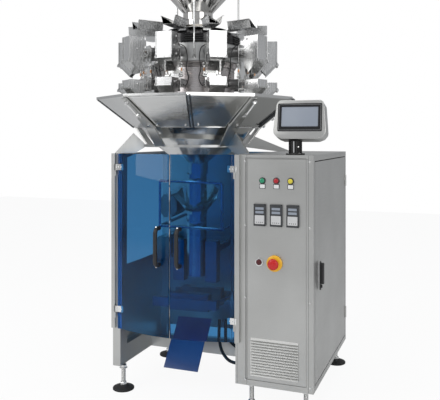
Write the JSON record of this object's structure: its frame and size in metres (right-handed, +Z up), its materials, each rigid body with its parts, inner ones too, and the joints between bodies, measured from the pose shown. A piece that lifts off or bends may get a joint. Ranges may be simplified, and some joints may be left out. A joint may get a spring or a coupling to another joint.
{
  "type": "multihead weigher on its bagging machine",
  "caption": "Combination weigher with a ring of gated hoppers over a collecting chute, standing on an upright bagging machine with blue guard doors and a control cabinet.",
  "frame": {"origin": "on the floor, under the middle of the whole machine", "axes": "+X to the right seen from the front, +Y to the back, +Z up"},
  "size_m": [1.4014, 1.2064, 2.365],
  "materials": {
    "black_plastic": "matt",
    "black_rubber": "matt",
    "blue_acrylic": "clear tinted",
    "blue_sheet": "satin",
    "cabinet_steel": "brushed",
    "drive_steel": "machined",
    "drum_plate": "satin",
    "frame_steel": "brushed",
    "hopper_steel": "brushed",
    "lamp_plastic": "gloss",
    "mirror_steel": "polished",
    "red_plastic": "gloss"
  },
  "bodies": {
    "machine": {"levelling_feet": "black_rubber", "frame_posts": "frame_steel", "lower_beams": "frame_steel", "upper_beams": "frame_steel", "cabinet_shell": "cabinet_steel", "cabinet_front_panel": "cabinet_steel", "temperature_controllers": "black_plastic", "lamps_and_buttons": "lamp_plastic", "hmi_pedestal": "black_plastic", "drum_body": "drum_plate", "drum_top_ring": "black_rubber", "top_cone": "mirror_steel", "feeder_pans": "hopper_steel", "feed_hoppers": "hopper_steel", "weigh_hoppers": "hopper_steel", "hopper_drives": "drive_steel", "discharge_chute": "mirror_steel", "collecting_cone": "mirror_steel", "weigher_frame": "frame_steel", "weigher_legs": "frame_steel", "infeed_funnel": "mirror_steel", "forming_tube": "mirror_steel", "collar_frame": "drive_steel", "pull_belt_units": "drive_steel", "back_plate": "frame_steel", "jaw_guides_and_rollers": "drive_steel", "product_slide": "blue_sheet", "front_conduit": "black_plastic", "rear_conduit": "black_plastic"},
    "left_guard_door": {"left_guard_door": "blue_acrylic", "left_door_handle": "black_plastic"},
    "right_guard_door": {"right_guard_door": "blue_acrylic", "right_door_handle": "black_plastic"},
    "cabinet_side_door": {"cabinet_side_door": "cabinet_steel", "side_door_handle": "black_plastic"},
    "operator_panel": {"hmi_housing": "frame_steel", "hmi_bezel": "black_plastic"},
    "stop_mushroom": {"stop_mushroom": "red_plastic"},
    "front_jaw": {"front_jaw": "drive_steel"},
    "rear_jaw": {"rear_jaw": "drive_steel"},
    "feed_gate_01": {"feed_gate_01": "hopper_steel"},
    "weigh_gate_01": {"weigh_gate_01": "hopper_steel"},
    "feed_gate_02": {"feed_gate_02": "hopper_steel"},
    "weigh_gate_02": {"weigh_gate_02": "hopper_steel"},
    "feed_gate_03": {"feed_gate_03": "hopper_steel"},
    "weigh_gate_03": {"weigh_gate_03": "hopper_steel"},
    "feed_gate_04": {"feed_gate_04": "hopper_steel"},
    "weigh_gate_04": {"weigh_gate_04": "hopper_steel"},
    "feed_gate_05": {"feed_gate_05": "hopper_steel"},
    "weigh_gate_05": {"weigh_gate_05": "hopper_steel"},
    "feed_gate_06": {"feed_gate_06": "hopper_steel"},
    "weigh_gate_06": {"weigh_gate_06": "hopper_steel"},
    "feed_gate_07": {"feed_gate_07": "hopper_steel"},
    "weigh_gate_07": {"weigh_gate_07": "hopper_steel"},
    "feed_gate_08": {"feed_gate_08": "hopper_steel"},
    "weigh_gate_08": {"weigh_gate_08": "hopper_steel"},
    "feed_gate_09": {"feed_gate_09": "hopper_steel"},
    "weigh_gate_09": {"weigh_gate_09": "hopper_steel"},
    "feed_gate_10": {"feed_gate_10": "hopper_steel"},
    "weigh_gate_10": {"weigh_gate_10": "hopper_steel"}
  },
  "joints": [
    {"name": "left_guard_door_hinge", "type": "hinge", "parent": "machine", "child": "left_guard_door", "pos_m": [-0.48066, -0.36483, 0.36], "axis": [0, 0, -1], "range_deg": [0, 110]},
    {"name": "right_guard_door_hinge", "type": "hinge", "parent": "machine", "child": "right_guard_door", "pos_m": [0.23534, -0.36483, 0.36], "axis": [0, 0, 1], "range_deg": [0, 110]},
    {"name": "cabinet_side_door_hinge", "type": "hinge", "parent": "machine", "child": "cabinet_side_door", "pos_m": [0.65834, 0.57117, 0.14], "axis": [0, 0, 1], "range_deg": [0, 110]},
    {"name": "operator_panel_swivel", "type": "hinge", "parent": "machine", "child": "operator_panel", "pos_m": [0.53234, -0.26683, 1.425], "axis": [0, 0, 1], "range_deg": [-30, 30]},
    {"name": "stop_mushroom_press", "type": "slide", "parent": "machine", "child": "stop_mushroom", "axis": [0, 1, 0], "range_m": [0, 0.006]},
    {"name": "front_jaw_slide", "type": "slide", "parent": "machine", "child": "front_jaw", "axis": [0, 1, 0], "range_m": [0, 0.07]},
    {"name": "rear_jaw_slide", "type": "slide", "parent": "machine", "child": "rear_jaw", "axis": [0, -1, 0], "range_m": [0, 0.07]},
    {"name": "feed_gate_01_hinge", "type": "hinge", "parent": "machine", "child": "feed_gate_01", "pos_m": [-0.11566, -0.51183, 1.861], "axis": [-1, 0, 0], "range_deg": [0, 60], "stiffness_Nm_per_rad": 0.3, "springref_deg": -40.11},
    {"name": "weigh_gate_01_hinge", "type": "hinge", "parent": "machine", "child": "weigh_gate_01", "pos_m": [-0.11566, -0.51183, 1.715], "axis": [-1, 0, 0], "range_deg": [0, 60], "stiffness_Nm_per_rad": 0.3, "springref_deg": -40.11},
    {"name": "feed_gate_02_hinge", "type": "hinge", "parent": "machine", "child": "feed_gate_02", "pos_m": [0.16001, -0.42226, 1.861], "axis": [-0.809, -0.5878, 0], "range_deg": [0, 60], "stiffness_Nm_per_rad": 0.3, "springref_deg": -40.11},
    {"name": "weigh_gate_02_hinge", "type": "hinge", "parent": "machine", "child": "weigh_gate_02", "pos_m": [0.16001, -0.42226, 1.715], "axis": [-0.809, -0.5878, 0], "range_deg": [0, 60], "stiffness_Nm_per_rad": 0.3, "springref_deg": -40.11},
    {"name": "feed_gate_03_hinge", "type": "hinge", "parent": "machine", "child": "feed_gate_03", "pos_m": [0.33038, -0.18776, 1.861], "axis": [-0.309, -0.9511, 0], "range_deg": [0, 60], "stiffness_Nm_per_rad": 0.3, "springref_deg": -40.11},
    {"name": "weigh_gate_03_hinge", "type": "hinge", "parent": "machine", "child": "weigh_gate_03", "pos_m": [0.33038, -0.18776, 1.715], "axis": [-0.309, -0.9511, 0], "range_deg": [0, 60], "stiffness_Nm_per_rad": 0.3, "springref_deg": -40.11},
    {"name": "feed_gate_04_hinge", "type": "hinge", "parent": "machine", "child": "feed_gate_04", "pos_m": [0.33038, 0.1021, 1.861], "axis": [0.309, -0.9511, 0], "range_deg": [0, 60], "stiffness_Nm_per_rad": 0.3, "springref_deg": -40.11},
    {"name": "weigh_gate_04_hinge", "type": "hinge", "parent": "machine", "child": "weigh_gate_04", "pos_m": [0.33038, 0.1021, 1.715], "axis": [0.309, -0.9511, 0], "range_deg": [0, 60], "stiffness_Nm_per_rad": 0.3, "springref_deg": -40.11},
    {"name": "feed_gate_05_hinge", "type": "hinge", "parent": "machine", "child": "feed_gate_05", "pos_m": [0.16001, 0.3366, 1.861], "axis": [0.809, -0.5878, 0], "range_deg": [0, 60], "stiffness_Nm_per_rad": 0.3, "springref_deg": -40.11},
    {"name": "weigh_gate_05_hinge", "type": "hinge", "parent": "machine", "child": "weigh_gate_05", "pos_m": [0.16001, 0.3366, 1.715], "axis": [0.809, -0.5878, 0], "range_deg": [0, 60], "stiffness_Nm_per_rad": 0.3, "springref_deg": -40.11},
    {"name": "feed_gate_06_hinge", "type": "hinge", "parent": "machine", "child": "feed_gate_06", "pos_m": [-0.11566, 0.42617, 1.861], "axis": [1, 0, 0], "range_deg": [0, 60], "stiffness_Nm_per_rad": 0.3, "springref_deg": -40.11},
    {"name": "weigh_gate_06_hinge", "type": "hinge", "parent": "machine", "child": "weigh_gate_06", "pos_m": [-0.11566, 0.42617, 1.715], "axis": [1, 0, 0], "range_deg": [0, 60], "stiffness_Nm_per_rad": 0.3, "springref_deg": -40.11},
    {"name": "feed_gate_07_hinge", "type": "hinge", "parent": "machine", "child": "feed_gate_07", "pos_m": [-0.39133, 0.3366, 1.861], "axis": [0.809, 0.5878, 0], "range_deg": [0, 60], "stiffness_Nm_per_rad": 0.3, "springref_deg": -40.11},
    {"name": "weigh_gate_07_hinge", "type": "hinge", "parent": "machine", "child": "weigh_gate_07", "pos_m": [-0.39133, 0.3366, 1.715], "axis": [0.809, 0.5878, 0], "range_deg": [0, 60], "stiffness_Nm_per_rad": 0.3, "springref_deg": -40.11},
    {"name": "feed_gate_08_hinge", "type": "hinge", "parent": "machine", "child": "feed_gate_08", "pos_m": [-0.56171, 0.1021, 1.861], "axis": [0.309, 0.9511, 0], "range_deg": [0, 60], "stiffness_Nm_per_rad": 0.3, "springref_deg": -40.11},
    {"name": "weigh_gate_08_hinge", "type": "hinge", "parent": "machine", "child": "weigh_gate_08", "pos_m": [-0.56171, 0.1021, 1.715], "axis": [0.309, 0.9511, 0], "range_deg": [0, 60], "stiffness_Nm_per_rad": 0.3, "springref_deg": -40.11},
    {"name": "feed_gate_09_hinge", "type": "hinge", "parent": "machine", "child": "feed_gate_09", "pos_m": [-0.56171, -0.18776, 1.861], "axis": [-0.309, 0.9511, 0], "range_deg": [0, 60], "stiffness_Nm_per_rad": 0.3, "springref_deg": -40.11},
    {"name": "weigh_gate_09_hinge", "type": "hinge", "parent": "machine", "child": "weigh_gate_09", "pos_m": [-0.56171, -0.18776, 1.715], "axis": [-0.309, 0.9511, 0], "range_deg": [0, 60], "stiffness_Nm_per_rad": 0.3, "springref_deg": -40.11},
    {"name": "feed_gate_10_hinge", "type": "hinge", "parent": "machine", "child": "feed_gate_10", "pos_m": [-0.39133, -0.42226, 1.861], "axis": [-0.809, 0.5878, 0], "range_deg": [0, 60], "stiffness_Nm_per_rad": 0.3, "springref_deg": -40.11},
    {"name": "weigh_gate_10_hinge", "type": "hinge", "parent": "machine", "child": "weigh_gate_10", "pos_m": [-0.39133, -0.42226, 1.715], "axis": [-0.809, 0.5878, 0], "range_deg": [0, 60], "stiffness_Nm_per_rad": 0.3, "springref_deg": -40.11}
  ],
  "couplings": [
    {"joint": "rear_jaw_slide", "follows": "front_jaw_slide", "ratio": 1}
  ]
}
